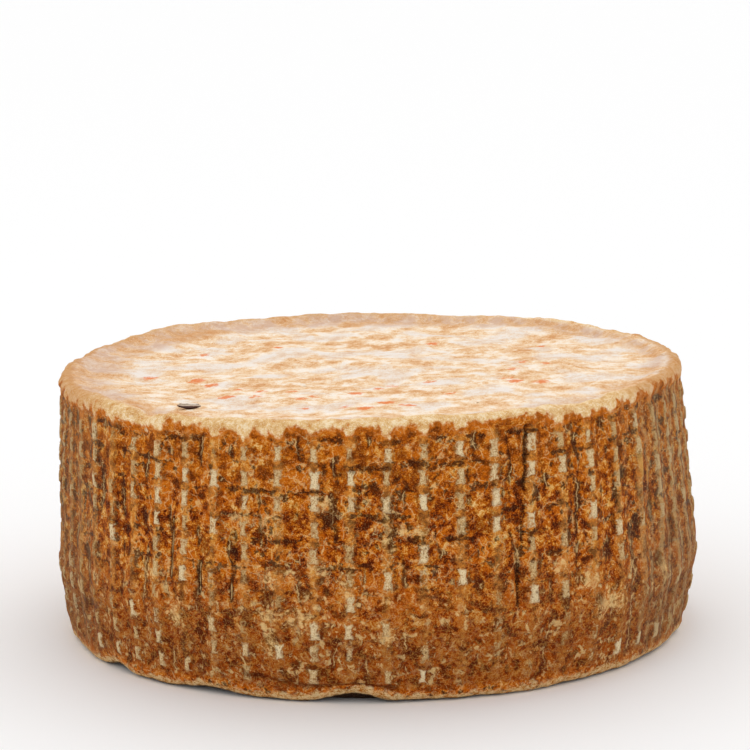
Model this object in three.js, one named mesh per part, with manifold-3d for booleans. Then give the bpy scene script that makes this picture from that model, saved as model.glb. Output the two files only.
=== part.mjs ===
// A whole wheel of natural-rind cheese, drained in a mould lined with net. Millimetres, +Z up.
// The origin is the middle of the wheel's footprint, on the surface that it stands on.
// The wheel is one solid: a round body that has slumped out of true, with a raised lip round a dished
// top, a foot that curls under, and the net's print as rows of small waisted studs down the side.
import * as THREE from "three";
import { mergeVertices } from "three/addons/utils/BufferGeometryUtils.js";
import Module from "manifold-3d";

// Driving dimensions of the wheel. Its size and outline are those of the top.
const RADIUS = 99.5;
const HEIGHT = 85;
const FOOT_RADIUS = 3.2; // the rounding between the side and the underside
const UNDERSIDE = { flat: 0.4, rim: 0.9 }; // shares of the radius: of its flat middle, and of its edge
// The edge of the underside lifts a little, all but three places that the wheel rests on. One of them
// is at a column of the print, and a higher sharpness makes them narrower.
const REST = { lift: 0.15, column: 4.5, sharpness: 60 };
const LIP_WIDTH = 8; // from the outside of the lip to where the top goes flat
const LIP_DROP = 1.6; // how far the flat of the top lies below the lip
const LIP_BULGE = 0.5; // how far the lip stands out over the side
const FOOT_ZONE = { low: 2, high: 8 }; // the heights between which what lifts the foot fades out
const LIP_ZONE = { low: 73, high: 82 }; // and those between which what dents the lip fades in

// How the wheel has slumped, from the top down.
const TOP_SLOPE = 0.02; // the top rises towards +X
// How far the top sinks inside the lip, over what width, where it sinks most, and its least share.
const DISH = { depth: 1.7, width: 22, towards: THREE.MathUtils.degToRad(209), least: 0.1 };
const BELLY_TOP = 80; // the height where the side begins to bulge
const BELLY_HEIGHT = 25; // and where it bulges most
const BELLY = { mean: 3.85, lean: 2.65 }; // the bulge, and how much more there is of it towards +X
const TUCK = { mean: 3.9, lean: 0.7 }; // how far the side draws in again, from the belly to the foot

// Low waves that make the wheel uneven: how many go round it, how high, and where one has its crest.
const OUTLINE_WAVES = [
  { count: 2, height: 0.25, crest: 0.6 },
  { count: 3, height: 1.55, crest: 0.07 },
  { count: 4, height: 0.65, crest: 0.63 },
];
const CREST_WAVES = [
  { count: 5, height: 0.3, crest: 0.9 },
  { count: 9, height: 0.2, crest: 0.3 },
];
// The dents and swellings in the top: their height, their length over one radian each way, and how far
// in from the lip they come up to full height.
const LUMPS = { height: 0.4, alongX: 9, alongY: 11, fade: 12 };

// The net's print. Columns run up the side and rows run round it.
const COLUMNS = 60;
const ROWS = 10;
const ROW_PITCH = 7.4;
const FIRST_ROW = 8.5;
const FIRST_COLUMN = 3.4; // degrees from the front
const COLUMN_DRIFT = { once: 1.3, twice: 4.7 }; // degrees off an even spacing, in waves round the wheel
const STUD = { width: 2.2, waist: 1.4, height: 4.3, proud: 0.7, crown: 0.15, root: 12 };
const STUD_JITTER = 0.4; // how far a stud lies off its place, at most
const STUD_SPREAD = 0.14; // how much larger or smaller than usual a stud is, at most
// The share of studs that have come through ripening, from the lowest row to the highest.
const KEPT = [0.5, 0.55, 0.45, 0.3, 0.35, 0.5, 0.7, 0.85, 0.9, 0.8];

// Damage. Places are in degrees from the front, -Y, towards +X, and widths are in degrees too.
const LIP_NICKS = [
  { at: -42, width: 2.6, depth: 2.2 },
  { at: 42, width: 6, depth: 1.3 },
];
const FOOT_LIFTS = [
  { at: -50.5, width: 3, depth: 1.8 },
  { at: -28, width: 5, depth: 1.3 },
  { at: -1, width: 5, depth: 1.8 },
  { at: 118, width: 7, depth: 1.4 },
  { at: 171, width: 5, depth: 1.6 },
  { at: -124, width: 8, depth: 1.2 },
];
// A fold of the net, which leans as it rises and pushes the column beside it clear.
const SEAM = { at: 27.1, lean: 0.085, low: 30, high: 80, width: 1.8, depth: 1.2, clear: 2 };
// A flake of rind that lifts off the top, inside the lip.
const FLAKE = { at: -41.5, inward: 19.5, length: 7, width: 4, thickness: 0.7, curl: 0.3 };

const WELD = 1e-4; // vertices closer than this are one

const { degToRad, smoothstep, clamp } = THREE.MathUtils;
const wasm = await Module();
wasm.setup();

// The angle from +X of a place given in degrees from the front.
function fromFront(degrees) {
  return degToRad(degrees - 90);
}

// The sum of some waves at an angle.
function waves(list, angle) {
  return list.reduce((sum, w) => sum + w.height * Math.cos(w.count * (angle - w.crest)), 0);
}

// The sum of some bell-shaped dents at an angle.
function dents(list, angle) {
  return list.reduce((sum, d) => {
    const away = angle - fromFront(d.at);
    const turn = Math.atan2(Math.sin(away), Math.cos(away));
    return sum + d.depth * Math.exp(-((turn / degToRad(d.width)) ** 2));
  }, 0);
}

// The angle of a column of the print, where columns are counted from the one nearest the front.
function columnAngle(column) {
  const turn = (column * 2 * Math.PI) / COLUMNS;
  const drift = COLUMN_DRIFT.once * Math.sin(turn) + COLUMN_DRIFT.twice * Math.sin(turn) ** 2;
  return fromFront(FIRST_COLUMN + drift) + turn;
}

// A number from 0 to 1 that is always the same for a stud's place in the print.
function chance(column, row, salt) {
  const wave = Math.sin(column * 127.1 + row * 311.7 + salt * 74.7) * 43758.5453;
  return wave - Math.floor(wave);
}

// How far the side stands out beyond the outline of the top.
function bulge(angle, z) {
  const belly = BELLY.mean + BELLY.lean * Math.cos(angle);
  const tuck = TUCK.mean + TUCK.lean * Math.cos(angle);
  const rise = clamp((BELLY_TOP - z) / (BELLY_TOP - BELLY_HEIGHT), 0, 1);
  const fall = Math.max(0, 1 - z / BELLY_HEIGHT);
  return belly * rise - tuck * fall;
}

// 1 at the underside and 0 above the foot.
function atFoot(z) {
  return 1 - smoothstep(z, FOOT_ZONE.low, FOOT_ZONE.high);
}

// Where a point of the wheel as moulded, at a radius, angle and height, has slumped to.
function slumped(r, angle, z) {
  const share = r / RADIUS;
  const atLip = smoothstep(z, LIP_ZONE.low, LIP_ZONE.high) * smoothstep(share, 0.8, 0.95);
  const nick = dents(LIP_NICKS, angle) * atLip;
  const out = r + share * (bulge(angle, z) + waves(OUTLINE_WAVES, angle)) - 0.6 * nick;
  const x = out * Math.cos(angle);
  const y = out * Math.sin(angle);

  const inside = RADIUS - LIP_WIDTH - r;
  const leaning = THREE.MathUtils.mapLinear(Math.cos(angle - DISH.towards), -1, 1, DISH.least, 1);
  const dish = DISH.depth * leaning * smoothstep(inside, -2, DISH.width);
  const wavy = Math.sin(x / LUMPS.alongX + 1) * Math.cos(y / LUMPS.alongY);
  const lumps = LUMPS.height * wavy * smoothstep(inside, 0, LUMPS.fade);
  const crest = TOP_SLOPE * x + waves(CREST_WAVES, angle) * share * share;
  const lift = dents(FOOT_LIFTS, angle) * smoothstep(share, 0.94, 0.98) * atFoot(z);
  return new THREE.Vector3(x, y, z + (z / HEIGHT) * (crest + lumps - dish) - nick + lift);
}

// The round profile, from the middle of the underside to the middle of the top.
function profile() {
  const points = [[0, 0], [RADIUS * UNDERSIDE.flat, 0], [RADIUS * UNDERSIDE.rim, 0]];
  const corners = 3;
  for (let k = 0; k <= corners; k += 1) {
    const turn = (k / corners) * (Math.PI / 2);
    points.push([RADIUS - FOOT_RADIUS * (1 - Math.sin(turn)), FOOT_RADIUS * (1 - Math.cos(turn))]);
  }
  for (let row = 2; row < ROWS; row += 3) {
    points.push([RADIUS, FIRST_ROW + (row + 0.5) * ROW_PITCH]); // between two rows of studs
  }
  points.push([RADIUS, BELLY_TOP], [RADIUS + LIP_BULGE, HEIGHT - 2.8], [RADIUS - 0.3, HEIGHT - 0.9]);
  points.push([RADIUS - 2.4, HEIGHT], [RADIUS - 5, HEIGHT - 0.5]);
  for (const share of [1, 0.86, 0.66, 0.36, 0]) {
    points.push([(RADIUS - LIP_WIDTH) * share, HEIGHT - LIP_DROP]);
  }
  return points.map(([r, z]) => new THREE.Vector2(r, z));
}

// A closed geometry as a manifold-3d solid.
function solidOf(geometry) {
  const bare = new THREE.BufferGeometry();
  bare.setAttribute("position", geometry.getAttribute("position"));
  if (geometry.index) {
    bare.setIndex(geometry.index);
  }
  const merged = mergeVertices(bare, WELD);
  const mesh = new wasm.Mesh({
    numProp: 3,
    vertProperties: merged.attributes.position.array,
    triVerts: new Uint32Array(merged.index.array),
  });
  return new wasm.Manifold(mesh);
}

// How far the edge of the underside lifts, which is nothing at the three places that the wheel rests on.
function restLift(r, column) {
  const fromRest = ((column - REST.column) * 2 * Math.PI) / COLUMNS;
  const rest = Math.max(0, Math.cos(3 * fromRest)) ** REST.sharpness;
  return REST.lift * (1 - rest) * smoothstep(r / RADIUS, UNDERSIDE.flat, UNDERSIDE.rim);
}

// The wheel before the net's print: a lathed profile, slumped, with one facet under each column.
function body() {
  const geometry = new THREE.LatheGeometry(profile(), COLUMNS);
  const position = geometry.getAttribute("position");
  for (let i = 0; i < position.count; i += 1) {
    const [x, z, y] = [position.getX(i), position.getY(i), position.getZ(i)];
    const r = Math.hypot(x, y);
    const column = (Math.atan2(x, y) * COLUMNS) / (2 * Math.PI) - 0.5;
    const p = slumped(r, columnAngle(column), z);
    position.setXYZ(i, p.x, p.y, p.z + restLift(r, column) * atFoot(z));
  }
  return solidOf(geometry);
}

// A matrix that stands a shape drawn on the XY plane on the side, with Y up and Z out.
function onSide(angle, z) {
  const step = 0.5;
  const at = slumped(RADIUS, angle, z);
  const along = slumped(RADIUS, angle + step / RADIUS, z).sub(at).normalize();
  const up = slumped(RADIUS, angle, z + step).sub(at).normalize();
  const out = along.clone().cross(up).normalize();
  return new THREE.Matrix4().makeBasis(along, out.clone().cross(along), out).setPosition(at);
}

// One stud of the print: a six-sided peg whose point lies deep under the XY plane, so that its sides
// are all but upright where they leave the rind, and whose face is pulled in to a waist.
function stud(scale) {
  const geometry = new THREE.ConeGeometry(1, 1, 6, 1, false, Math.PI / 6).rotateX(-Math.PI / 2);
  const position = geometry.getAttribute("position");
  for (let i = 0; i < position.count; i += 1) {
    const side = Math.sign(position.getX(i));
    const end = Math.round(position.getY(i));
    const x = ((end === 0 ? STUD.waist : STUD.width) / 2) * side * scale;
    const y = (STUD.height / 2) * end * scale;
    const face = STUD.proud * scale + (side === 0 ? STUD.crown : 0);
    position.setXYZ(i, x, y, position.getZ(i) > 0 ? face : -STUD.root);
  }
  return geometry;
}

// The angle where a column runs at a height, which is its own unless the fold is in its way.
function clearOfSeam(angle, z) {
  const fold = fromFront(SEAM.at) + (SEAM.lean * (z - (SEAM.low + SEAM.high) / 2)) / RADIUS;
  const clear = SEAM.clear / RADIUS;
  return Math.abs(angle - fold) < clear ? fold + clear : angle;
}

// All the studs that stand proud.
function print() {
  const studs = [];
  const jitter = (column, row, salt) => STUD_JITTER * (2 * chance(column, row, salt) - 1);
  for (let row = 0; row < ROWS; row += 1) {
    for (let column = 0; column < COLUMNS; column += 1) {
      if (chance(column, row, 0) > KEPT[row]) {
        continue;
      }
      const z = FIRST_ROW + row * ROW_PITCH + jitter(column, row, 1);
      const angle = clearOfSeam(columnAngle(column), z) + jitter(column, row, 2) / RADIUS;
      const scale = 1 + STUD_SPREAD * (2 * chance(column, row, 3) - 1);
      const place = onSide(angle, z);
      studs.push(solidOf(stud(scale).applyMatrix4(place)));
    }
  }
  return wasm.Manifold.union(studs);
}

// The fold that the net left down the side, as the wedge to cut away.
function seam() {
  const length = SEAM.high - SEAM.low;
  const wedge = new THREE.Shape([
    new THREE.Vector2(-SEAM.width, -SEAM.depth),
    new THREE.Vector2(SEAM.width, -SEAM.depth),
    new THREE.Vector2(0, SEAM.depth),
  ]);
  const geometry = new THREE.ExtrudeGeometry(wedge, { depth: length, bevelEnabled: false });
  geometry.translate(0, 0, -length / 2).rotateX(-Math.PI / 2).rotateZ(-SEAM.lean);
  return solidOf(geometry.applyMatrix4(onSide(fromFront(SEAM.at), (SEAM.low + SEAM.high) / 2)));
}

// The flake: its outer edge is stuck down, and its inner edge and its ends curl up.
function flake() {
  const geometry = new THREE.BoxGeometry(FLAKE.length, FLAKE.width, FLAKE.thickness, 4, 2, 1);
  const position = geometry.getAttribute("position");
  for (let i = 0; i < position.count; i += 1) {
    const x = position.getX(i) / FLAKE.length;
    const y = position.getY(i) / FLAKE.width;
    position.setX(i, position.getX(i) * (1 - 0.5 * Math.abs(y)));
    position.setZ(i, position.getZ(i) + FLAKE.curl * FLAKE.width * (y + 2 * x * x));
  }
  const angle = fromFront(FLAKE.at);
  const at = slumped(RADIUS - FLAKE.inward, angle, HEIGHT - LIP_DROP);
  geometry.rotateZ(angle + Math.PI / 2).translate(at.x, at.y, at.z + FLAKE.thickness / 2);
  return solidOf(geometry);
}

// A manifold-3d solid as a geometry.
function geometryOf(solid) {
  const mesh = solid.getMesh();
  const points = new Float32Array(mesh.numVert * 3);
  for (let i = 0; i < mesh.numVert; i += 1) {
    points.set(mesh.vertProperties.subarray(i * mesh.numProp, i * mesh.numProp + 3), i * 3);
  }
  const geometry = new THREE.BufferGeometry();
  geometry.setAttribute("position", new THREE.BufferAttribute(points, 3));
  geometry.setIndex(new THREE.BufferAttribute(mesh.triVerts, 1));
  geometry.computeVertexNormals();
  return geometry;
}

// The finished wheel, with the middle of its footprint at the origin.
function cheeseWheel() {
  const geometry = geometryOf(body().add(flake()).add(print()).subtract(seam()));
  geometry.computeBoundingBox();
  const { min, max } = geometry.boundingBox;
  geometry.translate(-(min.x + max.x) / 2, -(min.y + max.y) / 2, -min.z);
  const rind = new THREE.MeshStandardMaterial({ color: 0x975c2b, roughness: 0.75, metalness: 0 });
  const mesh = new THREE.Mesh(geometry, rind);
  mesh.name = "cheese_wheel";
  return mesh;
}

const wheel = new THREE.Group();
wheel.add(cheeseWheel());
export default wheel;
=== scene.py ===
"""Makes a whole wheel of natural-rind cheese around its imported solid, with its stage and camera.

Shapes are worked out in millimetres, from a few sizes of the wheel, and turned to metres when a mesh is
made. Angles in degrees are counted from the front, -Y, towards +X.
"""

import math

import bpy
import numpy as np
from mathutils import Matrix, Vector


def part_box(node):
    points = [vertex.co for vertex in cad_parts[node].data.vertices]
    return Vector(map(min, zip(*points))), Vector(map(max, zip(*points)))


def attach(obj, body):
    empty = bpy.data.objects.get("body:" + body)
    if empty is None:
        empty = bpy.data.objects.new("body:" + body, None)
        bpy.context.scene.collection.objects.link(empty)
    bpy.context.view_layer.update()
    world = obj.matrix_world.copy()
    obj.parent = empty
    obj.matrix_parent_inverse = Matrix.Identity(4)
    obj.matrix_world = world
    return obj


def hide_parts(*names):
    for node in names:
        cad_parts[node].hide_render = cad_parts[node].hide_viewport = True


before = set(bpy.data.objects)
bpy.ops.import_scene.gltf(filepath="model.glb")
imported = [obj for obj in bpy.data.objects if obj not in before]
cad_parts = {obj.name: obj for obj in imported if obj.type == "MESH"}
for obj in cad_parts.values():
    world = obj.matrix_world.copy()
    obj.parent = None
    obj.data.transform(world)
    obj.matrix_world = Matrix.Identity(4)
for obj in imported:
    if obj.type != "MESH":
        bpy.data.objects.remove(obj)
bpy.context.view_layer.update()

bl_info = {
    "name": "Cheese Wheel",
    "version": (1, 0, 0),
    "blender": (4, 5, 0),
    "location": "3D View > Sidebar > Cheese",
    "description": "Makes a whole natural-rind cheese with a net's print, and a plain stage for it",
    "category": "Add Mesh",
}

NODE = "cheese_wheel"
MM = 0.001
TOP_RADIUS = 99.5  # of the wheel's top, where an angle is turned into a distance along the side
# Chance: what mixes a stud's column and row or a place with a salt into a wave, and what stretches the wave
# until its last digits look random.
STUD_MIX = (127.1, 311.7, 74.7)
PLACE_MIX = (12.9898, 78.233, 37.719)
SALT_MIX = 19.19
SCATTER = 43758.5453

# How the wheel has slumped, from the top down.
TOP_SLOPE = 0.02  # how much the top rises towards +X
DISH = {"depth": 1.7, "start": -2, "width": 22, "towards": math.radians(209), "least": 0.1}
BELLY_TOP = 80  # the height where the side starts to bulge
BELLY_HEIGHT = 25  # and where it bulges most
BELLY = (3.85, 2.65)  # its mean, and how much it leans towards +X
TUCK = (3.9, 0.7)  # the same for how far the foot draws in again
OUTLINE_WAVES = ((2, 0.25, 0.6), (3, 1.55, 0.07), (4, 0.65, 0.63))  # count, height, crest
CREST_WAVES = ((5, 0.3, 0.9), (9, 0.2, 0.3))
LUMPS = {"height": 0.4, "along_x": 9, "along_y": 11, "fade": 12}
LIP_ZONE = (73, 82)  # the heights between which what dents the lip fades in
FOOT_ZONE = (2, 8)  # and those between which what lifts the foot fades out
LIP_NICKS = ((-42, 2.6, 2.2), (42, 6, 1.3))  # place and width in degrees, and depth
NICK_ZONE = (0.8, 0.95)  # shares of the radius between which a nick fades in
NICK_INWARD = 0.6  # how far it goes inwards for its depth
NOTCH_WALL = (0.938, 0.968)  # shares of the radius between which a notch under the foot opens
NOTCH_SHADE = (0.969, 0.978)  # and those between which the painted shade inside it ends
# Where the foot lifts off the floor: place and width in degrees, and height.
FOOT_LIFTS = ((-50.5, 3, 1.8), (-28, 5, 1.3), (-1.8, 4.8, 3.0), (118, 7, 1.4), (171, 5, 1.6), (-124, 8, 1.2))

# The rind's mesh.
SIDE, TOP, BASE = 0, 1, 2  # its zones
FOOT_BENDS = (0, 20, 42, 66, 90)  # degrees round the foot's rounding where it has a ring
# The lip's curve: how far outside the radius and below the height its points lie, how far in it ends, and
# the number of rings from each point to the next.
LIP_CURVE = ((0, 6.5), (0.15, 4.7), (0.5, 2.8), (-0.3, 0.9), (-2.4, 0), (-5, 0.5))
LIP_END = 3
LIP_STEPS = (2, 2, 3, 3, 3, 3, 2)
# The rings of the base, from the middle out: share of the radius, and number of vertices.
BASE_RINGS = ((0.12, 55), (0.3, 110), (0.5, 165), (0.7, 220), (0.85, 330), (0.97, 330))
# Those of the top, from the lip in: number of vertices, the step from ring to ring, and the least radius.
TOP_RINGS = ((660, 1.2, 80), (330, 1.3, 45), (165, 1.7, 15), (55, 1.8, 3))

# The rind's skin.
FAR = 20.0  # a distance that no mark reaches, in millimetres
# The brown ring inside the lip, in millimetres: how wide it is, how far and over what length that sways,
# where it starts, how soft its edges are, and how much wider it is towards one side.
RING = {
    "reach": 8, "sway": 3, "over": 14, "start": 1, "outer_edge": 3, "inner_edge": 5,
    "towards": math.radians(140), "side": (-0.3, 0.8), "wider_in": 7, "wider_out": 3,
}
# The finest cracks: the size of the fields between them, and how far over what length they bend.
CRACKLE = {"field": 4.2, "bend": 4.0, "over": 2.6}
# The flanks, dry and greyed by dust and painted sheen: degrees from the front where they start and end, and
# how much of the painted light on their ribs and gaps the left one gets.
FLANK = {"start": (46, 64), "end": (105, 135), "left": 0.35}
# The lumps of the side: the size of the large ones, and the size and share of the small, stretched ones.
SIDE_LUMPS = {"size": 17, "small": 6.5, "share": 0.55, "stretch": (1, 1, 0.4)}
# Finer swellings: size and height in millimetres, and a salt.
SIDE_GRAIN = ((2.6, 0.22, 3), (1.5, 0.13, 4))
LIP_GRAIN = ((5.5, 0.4, 5), (2.4, 0.26, 6))
TOP_GRAIN = ((13, 0.5, 7), (4, 0.26, 8), (2.1, 0.14, 9))
# The crust along the lip, in millimetres along the rind out from its crest: where it fades in and out, and
# the drips that run down from it over the studs.
LIP_START = (-7, -1)
LIP_STOP = (3, 7)
DRIP = {"height": 0.45, "across": (0.9, 2.0), "start": (1, 2.5), "stop": (5, 7)}
TOP_START = (3, 8)  # how far inside the crest the grain of the top fades in
# Marks: their depth or height, and their width or edge, in millimetres.
SEAM_BANK = (0.3, 1.0)
CRACK_CUT = (0.5, 0.7)
FOLD_CUT = (0.7, 0.9)
STAIN_DIP = (0.35, (-0.8, 0.6))
PIT_DIP = (0.5, (-0.5, 0.5))
# How far their lines wander, in millimetres, and over what length.
WANDER = {"over": 5, "seam": 0.5, "crack": 0.8, "fold": 0.5, "fine": 0.4, "fine_over": 2}

# The net's print.
COLUMNS = 60
ROWS = 10
ROW_PITCH = 7.4  # in millimetres
COLUMN_PITCH = 10.8  # in millimetres
FIRST_ROW = 8.5  # its height in millimetres
FIRST_COLUMN = 3.4  # its place in degrees
COLUMN_DRIFT = (1.3, 4.7)  # degrees off an even spacing, in waves round the wheel
PRINT_FOOT = (4, 8)  # the heights between which the print fades in
PRINT_TOP = (79, 82)  # and out
# The share of the studs that came through, lowest row first, with the row on the lip last.
KEPT = (0.5, 0.55, 0.45, 0.3, 0.35, 0.5, 0.7, 0.85, 0.9, 0.8, 0.7)
# How strong those are, and how strong the others are, with the draws that this rises between.
STRENGTH = {"least": 0.8, "spread": 0.2}
FAINT = {"most": 0.6, "draws": (0.1, 0.8)}
ROW_RELIEF = 0.1  # how far the rows of the print stand out
STUD_JITTER = 0.4  # how far a stud lies out of place, at most
STUD_SPREAD = 0.14  # how much larger or smaller it is, at most
STUD_WAIST = 0.22  # how much narrower it is half-way up
STUD_WALL = (0.95, 1.35)  # how far across from its middle its wall starts and ends
STUD_END = (1.9, 2.35)  # and how far up and down
STUD_REACH = {"across": (2.5, 5), "up": (2.4, 3.7)}  # where the mesh follows it fully, and no longer
WAIST_REACH = {"across": (1.4, 3), "up": (0.6, 1.8)}
# Where the mesh has its lines, in millimetres from the middle of a stud, across and up.
ACROSS = (-4.6, -3.0, -1.9, -1.35, -1.0, 0, 1.0, 1.35, 1.9, 3.0, 4.6)
UP = (-3.7, -2.8, -2.35, -1.9, -0.6, 0.6, 1.9, 2.35, 2.8)
# The fold where the net is sewn: its place in degrees, how it leans, and in millimetres where it runs, how
# wide and deep it is, how far off its raised bank lies, how far it keeps the studs away, and how much of a
# stud's width moves along.
SEAM = {
    "at": 27.1, "lean": 0.085, "low": 28, "high": 80, "width": 0.8, "depth": 1.2, "bank": 2.2,
    "clear": 2, "push": (1.5, 5),
}

# Marks on the side: place in degrees, height, and half their width and height in millimetres.
# Moist dark stains:
STAINS = (
    (-5.9, 56.2, 2.6, 2.9),
    (-0.3, 71.0, 3.4, 0.9),
    (9.1, 71.9, 3.9, 1.1),
    (-0.5, 65.2, 2.6, 0.8),
    (5.0, 67.5, 0.9, 1.0),
    (4.6, 60.4, 0.9, 3.4),
    (4.4, 50.3, 1.0, 3.8),
    (8.6, 49.5, 2.6, 1.1),
    (11.6, 68.0, 0.8, 2.0),
    (-16.6, 31.2, 2.0, 2.4),
    (-10.2, 33.6, 1.8, 2.0),
    (-19.8, 26.3, 1.6, 2.2),
    (-12.7, 24.2, 1.6, 1.5),
    (-6.7, 23.7, 1.4, 1.8),
    (-53.7, 72.5, 0.9, 1.0),
    (50.3, 61.3, 1.4, 2.6),
    (53.4, 45.5, 1.8, 2.4),
    (47.6, 57.0, 0.9, 3.6),
    (60.5, 50.4, 0.9, 3.0),
)
# Dried pale crust:
CRUSTS = (
    (45.3, 23.7, 5.0, 2.4),
    (61.9, 28.5, 1.6, 1.4),
    (-18.8, 55.6, 2.6, 0.7),
    (-6.8, 60.9, 1.3, 1.2),
    (3.8, 51.5, 0.7, 2.8),
    (7.4, 52.2, 2.6, 0.7),
    (34.2, 38.4, 1.6, 1.2),
    (40.5, 32.2, 2.6, 1.8),
    (-16.6, 25.5, 2.2, 3.2),
    (-11.2, 26.0, 3.0, 2.8),
    (3.2, 21.5, 2.0, 1.8),
    (-15.8, 17.6, 1.8, 2.0),
    (-38.0, 36.0, 2.4, 2.0),
    (-33.0, 24.0, 2.2, 2.6),
    (-16.2, 38.6, 1.6, 1.6),
    (-12.4, 39.6, 1.4, 1.4),
    (-7.6, 41.2, 1.6, 1.2),
    (-3.4, 36.4, 1.0, 2.4),
)
# Cracks that run up the side: place in degrees, lowest and highest point.
CRACKS = ((-22.5, 30.6, 51.5), (-28.8, 32, 41.5), (-34.2, 36, 54))
# The fold at the foot, as places in degrees and heights along it.
FOOT_FOLD = ((-21.5, 8.3), (-7.8, 4.9), (5.4, 4.3))
# Folds and craters of the right side: place in degrees, height, half width and half height, and depth.
CREASES = (
    (55.3, 64.4, 1.6, 6.5, -0.8),
    (57.9, 57.4, 1.0, 4.5, -0.6),
    (51.2, 60.7, 2.6, 2.2, 0.8),
    (50.3, 68.9, 2.4, 3.0, 0.8),
    (58.6, 51.0, 1.8, 5.0, 0.7),
    (60.3, 31.7, 2.4, 3.2, 0.8),
    (42.5, 25.6, 2.6, 3.0, 0.7),
    (47.0, 47.0, 1.6, 5.5, 0.6),
    (66.0, 40.0, 2.0, 8.0, 0.6),
)
# Red spots and pits of the top: place and radius in millimetres.
RED_SPOTS = (
    (-69.4, -5.5, 2.2), (-53.9, -12.3, 2.6), (-48.8, -19.7, 2.4), (-43.3, -40.5, 2.8), (-54.2, 33.4, 1.8),
    (-39.8, -29.2, 1.5), (-32.8, -33.4, 1.6), (-34.0, -41.7, 1.6), (-23.1, -34.8, 1.5), (-20.3, -47.0, 1.8),
    (-16.1, -44.3, 1.3), (-6.4, -62.2, 1.5), (-3.5, -39.9, 2.2), (3.7, -33.0, 1.4), (8.4, -27.5, 1.4),
    (19.8, -25.1, 1.6), (25.5, -45.3, 1.5), (44.3, -24.2, 1.6), (46.6, -9.5, 1.6), (50.0, 0.5, 1.5),
    (46.6, -29.4, 2.2), (54.6, -30.5, 2.2), (57.5, -3.9, 1.5), (-0.5, -68.0, 2.6), (6.0, -58.5, 2.2),
    (12.5, -63.5, 2.0), (-18.2, -60.4, 1.6), (-30.0, 41.0, 1.8), (22.0, 38.0, 2.0), (58.0, 32.0, 1.7),
)
PITS = (
    (-67.9, -43.6, 0.8), (-61.6, -68.0, 0.9), (-52.0, -70.0, 0.8), (-32.9, -21.4, 0.7), (-19.3, -23.2, 0.8),
    (-16.3, -11.1, 0.7), (-9.1, -33.7, 0.8), (34.0, -60.0, 0.7), (70.0, -14.0, 0.9), (12.0, 24.0, 0.8),
)
# The flake on the top: its place and turn in degrees, its sizes in millimetres, and as shares how much its
# sides are rounded, its ends pointed and curled, and its edges thinned.
FLAKE = {
    "at": -40.8, "turned": 28, "inward": 19.0, "length": 7.4, "width": 4.4, "thickness": 0.4,
    "rise": 0.3, "curl": 0.8, "ragged": 0.08, "rounded": 0.22, "pointed": 0.97, "ends": 0.2, "thinned": 0.6,
}
FLAKE_GRID = (18, 10)  # its vertices along and across
# The lights: where they stand and how wide the key is, in metres, and over what angle the other spreads.
KEY_PLACE = (-1.0, -1.1, 1.25)
BACK_PLACE = (0.15, 1.0, 1.35)
KEY_SIZE = 1.0
BACK_SPREAD = math.radians(60)


def linear(code):
    """The linear RGBA of an sRGB hex value."""
    parts = [int(code[k : k + 2], 16) / 255 for k in (1, 3, 5)]
    return (*((p / 12.92 if p <= 0.04045 else ((p + 0.055) / 1.055) ** 2.4) for p in parts), 1.0)


def length(name, description, default):
    """A length that a user can change."""
    return bpy.props.FloatProperty(
        name=name, description=description, default=default, min=0, precision=4, unit="LENGTH"
    )


def turn(name, description, default):
    """An angle that a user can change."""
    return bpy.props.FloatProperty(name=name, description=description, default=default, subtype="ANGLE")


def colour(name, description, code):
    """A colour that a user can change."""
    return bpy.props.FloatVectorProperty(
        name=name, description=description, default=linear(code), size=4, min=0, max=1, subtype="COLOR"
    )


class WheelSizes(bpy.types.PropertyGroup):
    """The sizes of the wheel and of the net's print."""

    radius: length("Radius", "Radius of the top", 0.0995)
    height: length("Height", "Height of the lip over the surface that the wheel stands on", 0.085)
    foot_radius: length("Foot rounding", "Rounding between the side and the underside", 0.0032)
    lip_width: length("Lip width", "From the outside of the lip to the flat of the top", 0.008)
    lip_drop: length("Lip drop", "How far the flat of the top lies below the lip", 0.0016)
    stud_proud: length("Stud relief", "How far a stud of the print stands out", 0.0004)
    rib_height: length("Rib relief", "How far the columns of the print stand out", 0.0004)
    lump_height: length("Lump height", "Unevenness of the rind over a finger's width", 0.0005)


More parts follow.
